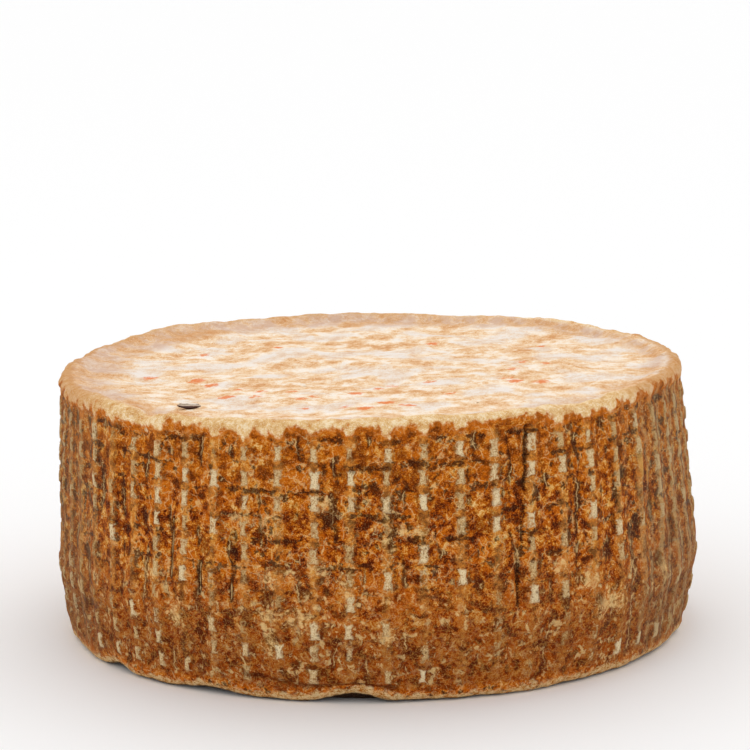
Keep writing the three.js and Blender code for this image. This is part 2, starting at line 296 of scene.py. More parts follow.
class RindColours(bpy.types.PropertyGroup):
    """The colours of the rind."""

    # Also the colour of the painted shade low on the side.
    deep: colour("Deep brown", "Hollows of the side's rind", "#4c1801")
    brown: colour("Red-brown", "Darker half of the side's rind", "#8a3502")
    tan: colour("Tan", "Middle of the side's rind", "#b05706")
    ochre: colour("Ochre", "Lighter half of the side's rind", "#ca7418")
    # Also the colour of the painted highlight on raised creases.
    straw: colour("Straw", "Highest grain of the side's rind", "#dfa552")
    glaze: colour("Orange glaze", "Moist orange patches", "#cf6806")
    # Also the colour of painted shade: beside the studs, in sunk creases, along the lowest edge and in the
    # notches under the foot.
    stain: colour("Stain", "Moist, near black patches", "#300f03")
    crust: colour("Crust", "Dried cream crust low on the side and in its fine cracks", "#f2cc8c")
    stud_dark: colour("Dark stud", "The darkest studs of the net's print", "#a98250")
    # Also the colour of the painted highlight on the flanks' ribs and gaps.
    stud: colour("Stud", "Dry pressed studs of the net's print", "#cfac76")
    stud_pale: colour("Pale stud", "The palest studs, and the worn edges of all", "#efdcb2")
    fringe: colour("Fringe", "Orange edge of the bare band under the lip", "#d0701a")
    lip_dark: colour("Dark lip", "Hollows of the bare band under the lip", "#d39f5e")
    lip: colour("Lip", "Bare band under the lip", "#e8c086")
    lip_pale: colour("Pale lip", "Crest of the lip, and its dry crystals", "#fbe3ba")
    top_dark: colour("Dark top", "Brown grain of the top", "#d6985f")
    peach: colour("Peach", "Hollows in the top", "#eabd8d")
    top: colour("Top", "Dry top", "#f6d8b2")
    bloom: colour("Bloom", "White bloom on the top", "#fff3e4")
    # Partly greyish bloom, partly painted shade.
    lilac: colour("Lilac", "Greyish bloom on the top", "#dad3d4")
    ring: colour("Ring", "Brown ring inside the lip", "#c4854e")
    red: colour("Red spot", "Spots of red culture on the top", "#ea8040")
    # Partly dust, partly painted sheen: the greyish cast of the flanks seen at a slant.
    dust: colour("Dust", "Dry, greyish rind of the flanks", "#6f5a42")
    foot_dark: colour("Dark foot", "Grain of the lowest edge of the side", "#c4914a")
    foot: colour("Foot", "Smooth lowest edge of the side", "#ecd09c")


class StageSettings(bpy.types.PropertyGroup):
    """The floor, the lights and the camera."""

    floor_size: length("Floor size", "Side of the square floor", 16.0)
    floor_colour: colour("Floor", "White matt floor", "#fcfcfc")
    camera_distance: length("Camera distance", "From the wheel's axis, along the floor", 0.9205)
    camera_height: length("Camera height", "Over the floor", 0.2492)
    camera_left: length("Camera offset", "How far the camera stands to the left of the wheel's axis", 0.0042)
    camera_pitch: turn("Camera pitch", "How far the camera looks down", 0.1814)
    camera_yaw: turn("Camera yaw", "How far the camera turns to the right", 0.0031)
    lens: bpy.props.FloatProperty(
        name="Lens", description="Focal length of the camera", default=139.1, min=1, unit="CAMERA"
    )
    ambient: bpy.props.FloatProperty(
        name="Ambient", description="Strength of the white room", default=0.86, min=0
    )
    key_power: bpy.props.FloatProperty(
        name="Key light", description="Power of the large light at the left", default=1.5, min=0, unit="POWER"
    )
    back_strength: bpy.props.FloatProperty(
        name="Back light", description="Strength of the wide, high light behind", default=0.62, min=0
    )


# ---------------------------------------------------------------------------------------------------
# Form


def smoothstep(value, low, high):
    """0 below low, 1 above high, and smooth between."""
    share = np.clip((value - low) / (high - low), 0, 1)
    return share * share * (3 - 2 * share)


def from_front(degrees):
    """The angle from +X of a place in degrees from the front."""
    return math.radians(degrees - 90)


def turn_between(angle, other):
    """The signed angle from other to angle."""
    return np.arctan2(np.sin(angle - other), np.cos(angle - other))


def chance(column, row, salt):
    """A number from 0 to 1 that is always the same for a stud's place in the print."""
    wave = np.sin(column * STUD_MIX[0] + row * STUD_MIX[1] + salt * STUD_MIX[2]) * SCATTER
    return wave - np.floor(wave)


def swell(points, size, salt):
    """Smooth random swellings from -1 to 1, of a size in millimetres."""
    scaled = points / size
    cell = np.floor(scaled)
    share = scaled - cell
    share = share * share * (3 - 2 * share)
    total = np.zeros(len(points))
    for corner in range(8):
        step = np.array([corner & 1, corner >> 1 & 1, corner >> 2])
        weight = np.prod(np.where(step, share, 1 - share), axis=1)
        place = cell + step
        wave = np.sin(place @ PLACE_MIX + salt * SALT_MIX) * SCATTER
        total += weight * (wave - np.floor(wave))
    return 2 * total - 1


def swellings(table, points):
    """The sum of some swellings."""
    return sum(height * swell(points, size, salt) for size, height, salt in table)


def waves(table, angle):
    """The sum of some waves at an angle."""
    return sum(height * np.cos(count * (angle - crest)) for count, height, crest in table)


def dents(table, angle):
    """The sum of some bell-shaped dents at an angle."""
    return sum(
        depth * np.exp(-((turn_between(angle, from_front(at)) / math.radians(width)) ** 2))
        for at, width, depth in table
    )


def bulge(angle, z):
    """How far the side stands out beyond the outline of the top."""
    belly = BELLY[0] + BELLY[1] * np.cos(angle)
    tuck = TUCK[0] + TUCK[1] * np.cos(angle)
    rise = np.clip((BELLY_TOP - z) / (BELLY_TOP - BELLY_HEIGHT), 0, 1)
    return belly * rise - tuck * np.maximum(0, 1 - z / BELLY_HEIGHT)


def column_angle(column):
    """The angle of a column of the print, counted from the one nearest the front."""
    even = column * 2 * math.pi / COLUMNS
    drift = COLUMN_DRIFT[0] * np.sin(even) + COLUMN_DRIFT[1] * np.sin(even) ** 2
    return from_front(FIRST_COLUMN) + np.radians(drift) + even


def slumped(sizes, r, angle, z):
    """Where points of the wheel as moulded, at a radius, angle and height, have slumped to."""
    radius = sizes.radius / MM
    height = sizes.height / MM
    share = r / radius
    nick = dents(LIP_NICKS, angle) * smoothstep(z, *LIP_ZONE) * smoothstep(share, *NICK_ZONE)
    out = r + share * (bulge(angle, z) + waves(OUTLINE_WAVES, angle)) - NICK_INWARD * nick
    x = out * np.cos(angle)
    y = out * np.sin(angle)
    inside = radius - sizes.lip_width / MM - r
    leaning = DISH["least"] + (1 - DISH["least"]) * (1 + np.cos(angle - DISH["towards"])) / 2
    dish = DISH["depth"] * leaning * smoothstep(inside, DISH["start"], DISH["width"])
    wavy = np.sin(x / LUMPS["along_x"] + 1) * np.cos(y / LUMPS["along_y"])
    lumps = LUMPS["height"] * wavy * smoothstep(inside, 0, LUMPS["fade"])
    crest = TOP_SLOPE * x + waves(CREST_WAVES, angle) * share * share
    lift = dents(FOOT_LIFTS, angle) * smoothstep(share, *NOTCH_WALL) * (1 - smoothstep(z, *FOOT_ZONE))
    return np.stack([x, y, z + (z / height) * (crest + lumps - dish) - nick + lift], axis=1)


def fold_angle(z):
    """The angle where the seam of the net runs at a height."""
    middle = (SEAM["low"] + SEAM["high"]) / 2
    return from_front(SEAM["at"]) + SEAM["lean"] * (z - middle) / TOP_RADIUS


def smooth_curve(points, steps):
    """Points along a smooth curve through some points, with a number of steps from each to the next."""
    points = np.array(points, float)
    before = np.vstack([2 * points[0] - points[1], points, 2 * points[-1] - points[-2]])
    found = [points[0]]
    for k, count in enumerate(steps):
        a, b, c, d = before[k : k + 4]
        for t in np.arange(1, count + 1) / count:
            square = (2 * a - 5 * b + 4 * c - d) * t**2
            cube = (3 * b - a - 3 * c + d) * t**3
            found.append(0.5 * (2 * b + (c - a) * t + square + cube))
    return found


def side_profile(sizes):
    """Radius and height of the mesh's rings on the side, from the foot to inside the lip."""
    radius = sizes.radius / MM
    height = sizes.height / MM
    rounding = sizes.foot_radius / MM
    rings = []
    for bend in np.radians(FOOT_BENDS):
        rings.append((radius - rounding * (1 - math.sin(bend)), rounding * (1 - math.cos(bend))))
    rings.append((radius, (rounding + FIRST_ROW + UP[0]) / 2))
    for row in range(ROWS):
        rings += [(radius, FIRST_ROW + row * ROW_PITCH + up) for up in UP]
    drop = height - sizes.lip_drop / MM
    inner = radius - sizes.lip_width / MM
    lip = [(radius + out, height - down) for out, down in LIP_CURVE]
    lip += [(inner, drop), (inner - LIP_END, drop)]
    return rings + smooth_curve(lip, LIP_STEPS)


class Rings:
    """Vertices in rings about the axis, and the faces that join them."""

    def __init__(self):
        self.parts = []
        self.faces = []
        self.zones = []
        self.zone = 0
        self.count = 0

    def add(self, r, angle, z, column, up, run, zone):
        """Adds one ring and gives back the numbers of its vertices."""
        size = len(angle)
        ring = [np.broadcast_to(np.asarray(v, float), size) for v in (r, angle, z, column, up, run, zone)]
        self.parts.append(np.stack(ring, axis=1))
        self.zone = zone
        self.count += size
        return np.arange(self.count - size, self.count)

    def join(self, outer, inner):
        """Faces between two rings, quads where they match and triangles where they don't."""
        if len(outer) == len(inner):
            faces = np.stack([outer, np.roll(outer, -1), np.roll(inner, -1), inner], axis=1).tolist()
        else:
            faces = []
            i = j = 0
            n, m = len(outer), len(inner)
            while i < n or j < m:
                if j >= m or (i < n and (i + 1) * m <= (j + 1) * n):
                    faces.append([outer[i % n], outer[(i + 1) % n], inner[j % m]])
                    i += 1
                else:
                    faces.append([outer[i % n], inner[(j + 1) % m], inner[j % m]])
                    j += 1
        self.faces += faces
        self.zones += [self.zone] * len(faces)

    def cap(self, ring, middle):
        """Closes a ring with a fan."""
        n = len(ring)
        self.faces += [[ring[k], ring[(k + 1) % n], middle] for k in range(n)]
        self.zones += [self.zone] * n


def rind_rings(sizes):
    """The rings of the whole wheel before it slumps, from the middle of the base to that of the top."""
    rings = Rings()
    columns = np.arange(COLUMNS) - COLUMNS // 2
    column = (columns[:, None] + np.array(ACROSS)[None, :] / COLUMN_PITCH).ravel()
    fine = column_angle(column)

    def even(count):
        return column_angle(column[0] + np.arange(count) * COLUMNS / count)

    profile = side_profile(sizes)
    outside = profile[0][0]
    crest = max(range(len(profile)), key=lambda k: profile[k][1])
    steps = np.hypot(*np.diff(np.array(profile), axis=0).T)
    run = np.concatenate([[0], np.cumsum(steps)])
    run = run[crest] - run

    middle = rings.add(0, np.zeros(1), 0, 0, 0, run[0] + outside, BASE)[0]
    previous = None
    for share, count in BASE_RINGS:
        r = outside * share
        ring = rings.add(r, even(count), 0, 0, 0, run[0] + outside - r, BASE)
        if previous is None:
            rings.cap(ring[::-1], middle)
        else:
            rings.join(previous, ring)
        previous = ring

    for k, (r, z) in enumerate(profile):
        ring = rings.add(r, fine, z, column, (z - FIRST_ROW) / ROW_PITCH, run[k], SIDE if k else BASE)
        rings.join(previous, ring)
        previous = ring

    r, flat = profile[-1]
    run_in = run[-1]
    for count, step, stop in TOP_RINGS:
        angle = fine if count == len(fine) else even(count)
        while r - step > stop:
            r -= step
            run_in -= step
            ring = rings.add(r, angle, flat, 0, 0, run_in, TOP)
            rings.join(previous, ring)
            previous = ring
    rings.cap(previous, rings.add(0, np.zeros(1), flat, 0, 0, run_in - r, TOP)[0])
    return rings


def print_shift(angle, z, column, on_side):
    """Moves the mesh's lines so that the studs lie and narrow as the net pressed them.

    Gives the new angle and height, the strength of each stud, and the place in its cell."""
    cell = np.round(column)
    row = np.clip(np.round((z - FIRST_ROW) / ROW_PITCH), 0, ROWS)
    number = np.mod(cell, COLUMNS)
    across = (column - cell) * COLUMN_PITCH
    up = z - FIRST_ROW - row * ROW_PITCH
    near = 1 - smoothstep(np.abs(across), *STUD_REACH["across"])
    near = near * (1 - smoothstep(np.abs(up), *STUD_REACH["up"])) * on_side * (row < ROWS)
    size = STUD_SPREAD * (2 * chance(number, row, 3) - 1) * near
    waist = 1 - smoothstep(np.abs(up), *WAIST_REACH["up"])
    waist = waist * (1 - smoothstep(np.abs(across), *WAIST_REACH["across"]))
    aside = STUD_JITTER * (2 * chance(number, row, 2) - 1) * near
    aside += across * (size - STUD_WAIST * waist * near)
    away = turn_between(column_angle(cell), fold_angle(z))
    least = SEAM["clear"] / TOP_RADIUS
    push = np.where(np.abs(away) < least, least - away, 0) * TOP_RADIUS
    aside += push * (1 - smoothstep(np.abs(across), *SEAM["push"])) * on_side
    kept = np.array(KEPT)[row.astype(int)]
    draw = chance(number, row, 0)
    faint = FAINT["most"] * smoothstep(chance(number, row, 5), *FAINT["draws"])
    clear = STRENGTH["least"] + STRENGTH["spread"] * chance(number, row, 4)
    strength = np.where(draw > kept, faint, clear)
    lifted = z + STUD_JITTER * (2 * chance(number, row, 1) - 1) * near + up * size
    return angle + aside / TOP_RADIUS, lifted, strength * on_side, across, up


def ellipse_distance(dx, dy, across, along):
    """About how far a place lies outside an ellipse, in millimetres."""
    return (np.hypot(dx / across, dy / along) - 1) * min(across, along)


def on_the_side(angle, z, at, height):
    """How far places lie aside of and above a mark on the side, in millimetres."""
    return turn_between(angle, from_front(at)) * TOP_RADIUS, z - height


def marks(angle, z, share, run, points, on_side):
    """What the materials and the relief read at each vertex.

    Most are distances to a mark, in millimetres. The rest are shares of a zone, and depths."""
    wiggle = swell(points, WANDER["over"], 31)
    beyond = np.maximum(0, SEAM["low"] - z) + np.maximum(0, z - SEAM["high"])
    seam = turn_between(angle, fold_angle(z)) * TOP_RADIUS + WANDER["seam"] * wiggle
    found = {"seam": np.hypot(seam, beyond)}

    crack = np.full(len(z), FAR)
    for at, low, high in CRACKS:
        aside, above = on_the_side(angle, z, at, low)
        aside = aside + WANDER["crack"] * wiggle + WANDER["fine"] * swell(points, WANDER["fine_over"], 32)
        beyond = np.maximum(0, -above) + np.maximum(0, above - (high - low))
        crack = np.minimum(crack, np.hypot(aside, beyond))
    found["crack"] = crack

    for name, table in (("stain", STAINS), ("dried", CRUSTS)):
        nearest = np.full(len(z), FAR)
        for at, height, across, tall in table:
            nearest = np.minimum(nearest, ellipse_distance(*on_the_side(angle, z, at, height), across, tall))
        found[name] = nearest

    places, heights = np.array(FOOT_FOLD).T
    degrees = np.degrees(turn_between(angle, from_front(0)))
    line = np.interp(degrees, places, heights) + WANDER["fold"] * wiggle
    beyond = np.maximum(0, places[0] - degrees) + np.maximum(0, degrees - places[-1])
    found["fold"] = np.hypot(z - line, np.radians(beyond) * TOP_RADIUS)
    found = {name: np.where(on_side, distance, FAR) for name, distance in found.items()}

    for name, table in (("red", RED_SPOTS), ("pit", PITS)):
        nearest = np.full(len(z), FAR)
        for x, y, size in table:
            nearest = np.minimum(nearest, np.hypot(points[:, 0] - x, points[:, 1] - y) - size)
        found[name] = nearest

    # The top is browner inside the lip, over a wider ring at the back and the left.
    wide = smoothstep(np.cos(angle - RING["towards"]), *RING["side"])
    reach = RING["reach"] + RING["sway"] * swell(points, RING["over"], 33) + RING["wider_in"] * wide
    start = RING["start"] - RING["wider_out"] * wide
    past = smoothstep(-run, reach - RING["inner_edge"], reach + RING["inner_edge"])
    found["ring"] = smoothstep(-run, start, start + RING["outer_edge"]) * (1 - past)
    found["band"] = run
    found["level"] = z

    # The painted shade inside the notches under the foot, and how deep the creases are.
    found["under"] = np.clip(dents(FOOT_LIFTS, angle), 0, 1) * (1 - smoothstep(share, *NOTCH_SHADE))
    found["crease"] = np.zeros(len(z))
    for at, height, half_width, half_height, depth in CREASES:
        aside, above = on_the_side(angle, z, at, height)
        found["crease"] += on_side * depth * np.exp(-((aside / half_width) ** 2) - (above / half_height) ** 2)

    # The dry flanks, and how much painted light their ribs and gaps get: all of it on the right, less on the
    # left.
    degrees_off = np.abs(degrees)
    started = smoothstep(degrees_off, *FLANK["start"])
    found["flank"] = on_side * started * (1 - smoothstep(degrees_off, *FLANK["end"]))
    found["bare"] = found["flank"] * np.where(degrees > 0, 1, FLANK["left"])
    return found


def ridge(distance, height, width):
    """A bell-shaped ridge along a line, from the distances to it."""
    return height * np.exp(-((distance / width) ** 2))


def relief(sizes, points, found, strength, across, up, column, on_side):
    """How far each vertex stands off the plain form, in millimetres."""
    z = found["level"]
    band = found["band"]
    lump = sizes.lump_height / MM
    on_print = on_side * smoothstep(z, *PRINT_FOOT) * (1 - smoothstep(z, *PRINT_TOP))
    wall = 1 - smoothstep(np.abs(across), *STUD_WALL)
    end = 1 - smoothstep(np.abs(up), *STUD_END)
    stud = wall * end * strength * sizes.stud_proud / MM
    rib = sizes.rib_height / MM * np.cos(2 * math.pi * column)
    row = ROW_RELIEF * np.cos(2 * math.pi * (z - FIRST_ROW) / ROW_PITCH)
    tall = points * SIDE_LUMPS["stretch"]
    side = on_print * (rib + row + stud)
    small = SIDE_LUMPS["share"] * lump * swell(tall, SIDE_LUMPS["small"], 2)
    side += on_side * (lump * swell(points, SIDE_LUMPS["size"], 1) + small)
    side += on_side * swellings(SIDE_GRAIN, points)
    side -= ridge(found["seam"], SEAM["depth"], SEAM["width"])
    side += ridge(found["seam"] - SEAM["bank"], *SEAM_BANK)
    side -= ridge(found["crack"], *CRACK_CUT)
    side -= ridge(found["fold"], *FOLD_CUT)
    side -= STAIN_DIP[0] * (1 - smoothstep(found["stain"], *STAIN_DIP[1]))
    side -= found["crease"]

    lip = smoothstep(band, *LIP_START) * (1 - smoothstep(band, *LIP_STOP)) * on_side
    drip = (1 - smoothstep(np.abs(across), *DRIP["across"])) * strength
    drip = drip * smoothstep(band, *DRIP["start"]) * (1 - smoothstep(band, *DRIP["stop"]))
    crust = lip * swellings(LIP_GRAIN, points) + DRIP["height"] * drip * on_side
    inside = smoothstep(-band, *TOP_START)
    pits = PIT_DIP[0] * (1 - smoothstep(found["pit"], *PIT_DIP[1]))
    return side + crust + inside * (swellings(TOP_GRAIN, points) - pits)


def vertex_normals(points, faces):
    """Unit normals of the vertices of a mesh."""
    normals = np.zeros_like(points)
    for corners in (3, 4):
        chosen = np.array([f for f in faces if len(f) == corners])
        if len(chosen) == 0:
            continue
        a, b, c = points[chosen[:, 0]], points[chosen[:, 1]], points[chosen[:, -1]]
        if corners == 4:
            cross = np.cross(points[chosen[:, 2]] - a, c - b)
        else:
            cross = np.cross(b - a, c - a)
        for k in range(corners):
            np.add.at(normals, chosen[:, k], cross)
    return normals / np.maximum(np.linalg.norm(normals, axis=1, keepdims=True), 1e-12)


def add_uv(mesh, name, values):
    """A UV map from one pair of numbers for each face corner."""
    layer = mesh.uv_layers.new(name=name)
    layer.data.foreach_set("uv", np.asarray(values, np.float32).ravel())


def add_attribute(mesh, name, values):
    """A number for each vertex, for a material to read."""
    layer = mesh.attributes.new(name, "FLOAT", "POINT")
    layer.data.foreach_set("value", np.asarray(values, np.float32))


def bake_layout(points, column, first, run, zone):
    """Flat places for the face corners: three strips of the side, and the discs of top and base."""
    gap = 4.0
    disc = 112.0
    strip = COLUMNS / 3
    third = np.clip(np.floor((first + COLUMNS / 2) / strip), 0, 2)
    reach = np.ptp(run[zone == SIDE])
    u = gap + (column + COLUMNS / 2 + 1 - third * strip) * COLUMN_PITCH
    v = gap + third * (reach + gap) + run[zone == SIDE].max() - run
    x = points[:, 0] + (strip + 2) * COLUMN_PITCH + 2 * gap + disc
    y = points[:, 1] + disc + gap
    u = np.where(zone == SIDE, u, x)
    v = np.where(zone == SIDE, v, np.where(zone == TOP, y, y + 2 * disc + gap))
    return np.stack([u, v], axis=1) / (max(u.max(), v.max()) + gap)


def packed_shift(sizes):
    """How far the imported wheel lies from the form's own axis, along the floor, in millimetres."""
    low, high = (np.array(corner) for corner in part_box(NODE))
    angle = np.radians(np.arange(360))
    outline = slumped(sizes, sizes.radius / MM, angle, np.full(360, float(BELLY_HEIGHT)))
    return ((low + high) / MM - outline.min(axis=0) - outline.max(axis=0))[:2] / 2


def make_rind(sizes):
    """The whole rind as one closed mesh object."""
    rings = rind_rings(sizes)
    r, angle, z, column, up_share, run, zone = np.concatenate(rings.parts).T
    on_side = (zone == SIDE).astype(float)
    angle, z, strength, across, up = print_shift(angle, z, column, on_side)
    points = slumped(sizes, r, angle, z)
    found = marks(angle, z, r * MM / sizes.radius, run, points, on_side)
    normals = vertex_normals(points, rings.faces)
    height = relief(sizes, points, found, strength, across, up, column, on_side)
    points = points + normals * np.where(zone == BASE, 0, height)[:, None]
    points[:, 2] = np.maximum(points[:, 2], 0)
    points[:, :2] += packed_shift(sizes)

    mesh = bpy.data.meshes.new("natural_rind")
    mesh.from_pydata((points * MM).tolist(), [], rings.faces)
    corners = np.array([len(face) for face in rings.faces])
    vertex = np.concatenate([np.asarray(face) for face in rings.faces])
    face = np.repeat(np.arange(len(corners)), corners)
    corner_zone = np.repeat(np.array(rings.zones), corners)
    first = column[vertex]
    highest = np.full(len(corners), -FAR * COLUMNS)
    np.maximum.at(highest, face, first)
    unrolled = np.where(highest[face] - first > COLUMNS / 2, first + COLUMNS, first)
    lowest = np.full(len(corners), FAR * COLUMNS)
    np.minimum.at(lowest, face, unrolled)
    add_uv(mesh, "print", np.stack([unrolled, up_share[vertex]], axis=1))
    add_uv(mesh, "OFBake", bake_layout(points[vertex], unrolled, lowest[face], run[vertex], corner_zone))
    for name, values in {**found, "stud": strength}.items():
        add_attribute(mesh, name, values)
    mesh.validate()
    mesh.shade_smooth()
    rind = bpy.data.objects.new("cheese_rind", mesh)
    bpy.context.scene.collection.objects.link(rind)
    return rind


def rest_height(rind, place):
    """The height of the rind's top at a place, from the vertices nearest to it, in millimetres."""
    points = np.empty(len(rind.data.vertices) * 3)
    rind.data.vertices.foreach_get("co", points)
    points = points.reshape(-1, 3) / MM
    top = points[points[:, 2] > BELLY_TOP - 5]
    near = np.hypot(top[:, 0] - place[0], top[:, 1] - place[1])
    return top[np.argsort(near)[:5], 2].max()


def make_flake(sizes, rind):
    """A flake of rind on the top, curled up at its inner edge and at both ends."""
    along, across = np.meshgrid(*(np.linspace(-1, 1, count) for count in FLAKE_GRID))
    x = along * FLAKE["length"] / 2 * (1 - FLAKE["rounded"] * across**2)
    y = across * FLAKE["width"] / 2 * np.sqrt(1 - FLAKE["pointed"] * along**2)
    ragged = FLAKE["ragged"] * np.sin(5 * along + 2 * across) * np.cos(7 * across)
    curl = (1 + across) ** 2 / 4 + FLAKE["ends"] * along**2
    lift = FLAKE["rise"] + FLAKE["curl"] * curl + ragged
    outward = np.maximum(np.abs(along), np.abs(across))
    half = FLAKE["thickness"] / 2 * (1 - FLAKE["thinned"] * outward**6)
    angle = np.array([from_front(FLAKE["at"])])
    flat = np.array([(sizes.height - sizes.lip_drop) / MM])
    place = slumped(sizes, np.array([sizes.radius / MM - FLAKE["inward"]]), angle, flat)[0]
    place[:2] += packed_shift(sizes)
    facing = angle[0] + math.pi / 2 + math.radians(FLAKE["turned"])
    px = place[0] + x * math.cos(facing) - y * math.sin(facing)
    py = place[1] + x * math.sin(facing) + y * math.cos(facing)
    level = rest_height(rind, place) + lift
    sheets = [np.stack([px, py, level + side * half], axis=-1).reshape(-1, 3) for side in (1, -1)]

    number = np.arange(along.size).reshape(along.shape)
    a, b, c, d = number[:-1, :-1], number[:-1, 1:], number[1:, 1:], number[1:, :-1]
    faces = np.stack([a, b, c, d], axis=-1).reshape(-1, 4)
    border = np.concatenate([number[0], number[1:, -1], number[-1, -2::-1], number[-2:0:-1, 0]])
    after = np.roll(border, -1)
    rim = np.stack([after, border, border + number.size, after + number.size], axis=1)
    mesh = bpy.data.meshes.new("rind_flake")
    quads = np.concatenate([faces, faces[:, ::-1] + number.size, rim])
    mesh.from_pydata((np.concatenate(sheets) * MM).tolist(), [], quads.tolist())
    add_attribute(mesh, "across", np.tile(across.ravel(), 2))
    mesh.validate()
    mesh.shade_smooth()
    flake = bpy.data.objects.new("cheese_flake", mesh)
    bpy.context.scene.collection.objects.link(flake)
    return flake


# ---------------------------------------------------------------------------------------------------
# Materials


def node(tree, kind, inputs=(), out=0, stops=(), **settings):
    """Adds a node with its settings, inputs by number or name, and colour stops, and gives an output."""
    made = tree.nodes.new("ShaderNode" + kind)
    for name, value in settings.items():
        setattr(made, name, value)
    for key, value in inputs.items() if isinstance(inputs, dict) else enumerate(inputs):
        if isinstance(value, bpy.types.NodeSocket):
            tree.links.new(value, made.inputs[key])
        else:
            made.inputs[key].default_value = value
    for k, (place, value) in enumerate(stops):
        elements = made.color_ramp.elements
        element = elements[k] if k < len(elements) else elements.new(place)
        element.position = place
        element.color = value
    return made.outputs[out] if made.outputs else None


def new_material(name):
    """An empty node material, and its tree."""
    material = bpy.data.materials.new(name)
    material.use_nodes = True
    material.node_tree.nodes.clear()
    return material, material.node_tree


def blended(tree, grain, shares, middle=0.5):
    """The sum of some grains by their shares, which is at middle where each grain is at its own."""
    total = middle - sum(shares.values()) / 2
    for name, share in shares.items():
        total = node(tree, "Math", (grain[name], share, total), operation="MULTIPLY_ADD")
    return total


def frayed(tree, grain, table):
    """Masks with frayed edges.

    Each has a distance, the grain that frays its edge and how far, and the distances where the mask is
    empty and where it is full, all in millimetres."""
    masks = {}
    for name, (distance, fray, reach, empty, full) in table.items():
        ragged = node(tree, "Math", (grain[fray], reach, distance), operation="MULTIPLY_ADD")
        limits = (ragged, empty + reach / 2, full + reach / 2)
        masks[name] = node(tree, "MapRange", limits, interpolation_type="SMOOTHSTEP")
    return masks


def print_distances(tree):
    """Distances to the parts of the net's print, in millimetres, and random numbers for each stud."""
    split = node(tree, "SeparateXYZ", (node(tree, "UVMap", uv_map="print"),)).node.outputs
    found = {}
    for name, axis, pitch in (("across", split[0], COLUMN_PITCH), ("up", split[1], ROW_PITCH)):
        number = node(tree, "Math", (axis,), operation="ROUND")
        away = node(tree, "Math", (axis, number), operation="SUBTRACT")
        found[name] = node(tree, "Math", (away, pitch), operation="MULTIPLY")
        found["beside " + name] = node(tree, "Math", (found[name],), operation="ABSOLUTE")
        found["number " + name] = number
    found["between up"] = node(tree, "Math", (ROW_PITCH / 2, found["beside up"]), operation="SUBTRACT")
    found["gap"] = node(tree, "Math", (split[0],), operation="FLOOR")
    in_gap = node(tree, "Math", (split[0], found["gap"]), operation="SUBTRACT")
    found["in gap"] = node(tree, "Math", (in_gap, COLUMN_PITCH, -COLUMN_PITCH / 2), operation="MULTIPLY_ADD")
    round_wheel = node(tree, "Math", (found["number across"], COLUMNS), operation="FLOORED_MODULO")
    cell = node(tree, "CombineXYZ", (round_wheel, found["number up"]))
    draws = node(tree, "TexWhiteNoise", (cell,), out=1, noise_dimensions="3D")
    found["draws"] = node(tree, "SeparateXYZ", (draws,)).node.outputs

    # Boxes: the studs, and the damp hollows to the right of them, which are also darkened as painted shadow
    # of the stud.
    for name, middle, half_width, half_height in (("stud", 0, 1.15, 2.2), ("stud shadow", 2.2, 0.7, 2.5)):
        off = node(tree, "Math", (found["across"], middle), operation="SUBTRACT")
        off = node(tree, "Math", (off,), operation="ABSOLUTE")
        off = node(tree, "Math", (off, half_width), operation="SUBTRACT")
        over = node(tree, "Math", (found["beside up"], half_height), operation="SUBTRACT")
        found[name] = node(tree, "Math", (off, over), operation="MAXIMUM")
    return found


def combined(tree, masks, table):
    """Adds masks that show where all of some others do, or where any of them does."""
    for name, (operation, parts) in table.items():
        masks[name] = masks[parts[0]]
        for part in parts[1:]:
            masks[name] = node(tree, "Math", (masks[name], masks[part]), operation=operation)


